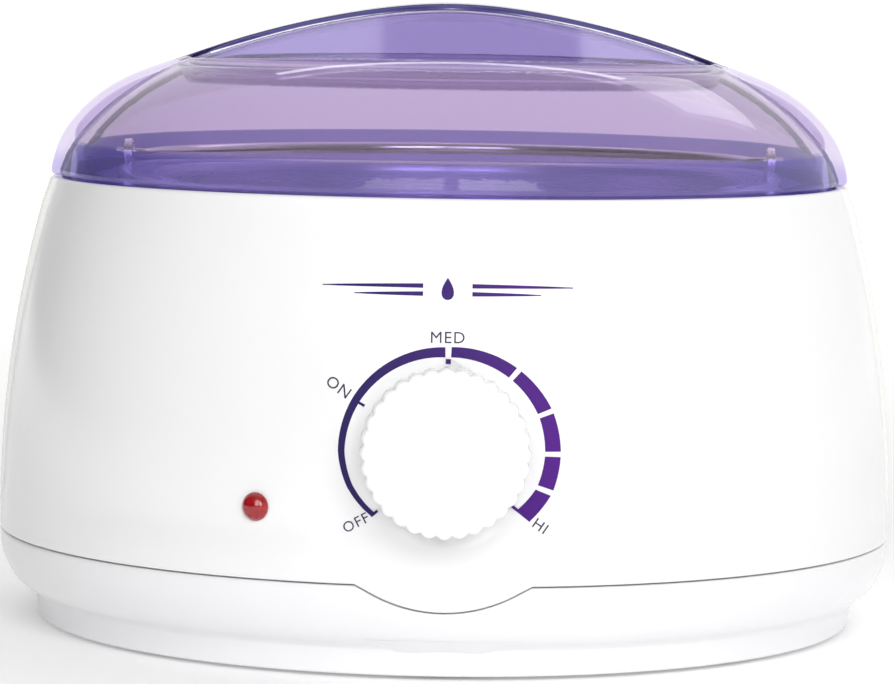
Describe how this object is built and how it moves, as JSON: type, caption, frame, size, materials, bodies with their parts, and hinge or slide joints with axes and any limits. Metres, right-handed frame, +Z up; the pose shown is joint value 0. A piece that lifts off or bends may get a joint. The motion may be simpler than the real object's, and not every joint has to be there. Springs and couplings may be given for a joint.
{
  "type": "wax warmer pot",
  "caption": "Round countertop wax warmer with a tinted handled lid, a lift-out pot with a bail, a heated well and a front dial.",
  "frame": {"origin": "on the table, below the middle of the whole object's box, which the knob makes deeper at the front than the round body", "axes": "+Z up, the dial and knob face -Y, the lid's handle ridge runs along X"},
  "size_m": [0.185, 0.1994, 0.1278],
  "materials": {
    "housing_white": "glossy moulded white",
    "base_white": "glossy moulded white",
    "knob_white": "smooth moulded white",
    "lid_violet": "clear tinted, polished",
    "lamp_red": "clear red, polished",
    "pot_aluminium": "spun",
    "bail_steel": "plated wire",
    "well_aluminium": "spun, matt",
    "zinc_steel": "zinc plated",
    "terminal_brass": "plain",
    "heater_mica": "steel over mica",
    "grey_silicone": "matt",
    "black_rubber": "matt",
    "grommet_rubber": "matt off-white",
    "thermostat_cream": "ceramic-filled",
    "neon_glass": "clear",
    "block_nylon": "natural nylon",
    "lead_brown": "insulation",
    "lead_black": "insulation",
    "lead_white": "glass-braid insulation",
    "lead_blue": "insulation",
    "lead_yellow": "insulation"
  },
  "bodies": {
    "housing": {"housing": "housing_white", "base_tray": "base_white", "base_screw_1": "zinc_steel", "base_screw_2": "zinc_steel", "base_screw_3": "zinc_steel", "base_screw_4": "zinc_steel", "rubber_foot_1": "black_rubber", "rubber_foot_2": "black_rubber", "rubber_foot_3": "black_rubber", "rubber_foot_4": "black_rubber", "heating_well": "well_aluminium", "well_gasket": "grey_silicone", "well_screw_1": "zinc_steel", "well_screw_2": "zinc_steel", "well_screw_3": "zinc_steel", "heater_band": "heater_mica", "heater_clamp_screw": "zinc_steel", "heater_clamp_nut": "zinc_steel", "thermostat": "thermostat_cream", "thermostat_nut": "terminal_brass", "thermostat_terminal_1": "terminal_brass", "thermostat_terminal_2": "terminal_brass", "lamp_lens": "lamp_red", "lamp_push_nut": "zinc_steel", "neon_lamp": "neon_glass", "cord_grommet": "grommet_rubber", "thermal_fuse": "zinc_steel", "fuse_clip": "zinc_steel", "terminal_block": "block_nylon", "lead_live": "lead_brown", "lead_switched": "lead_black", "lead_heater": "lead_white", "lead_neutral": "lead_blue", "lead_lamp": "lead_yellow"},
    "pot": {"pot": "pot_aluminium"},
    "bail": {"bail": "bail_steel"},
    "lid": {"lid": "lid_violet"},
    "knob": {"knob": "knob_white", "knob_spindle": "zinc_steel"}
  },
  "joints": [
    {"name": "pot_lift", "type": "slide", "parent": "housing", "child": "pot", "axis": [0, 0, 1], "range_m": [0, 0.1]},
    {"name": "lid_lift", "type": "slide", "parent": "pot", "child": "lid", "axis": [0, 0, 1], "range_m": [0, 0.15]},
    {"name": "bail_swing", "type": "hinge", "parent": "pot", "child": "bail", "pos_m": [0, 0.00607, 0.0954], "axis": [1, 0, 0], "range_deg": [0, 90]},
    {"name": "knob_turn", "type": "hinge", "parent": "housing", "child": "knob", "pos_m": [0, -0.08469, 0.0442], "axis": [0, 0.9962, -0.0872], "range_deg": [0, 258]}
  ],
  "couplings": [
    {"joint": "bail_swing", "follows": "lid_lift", "rad_per_m": 10.4}
  ]
}
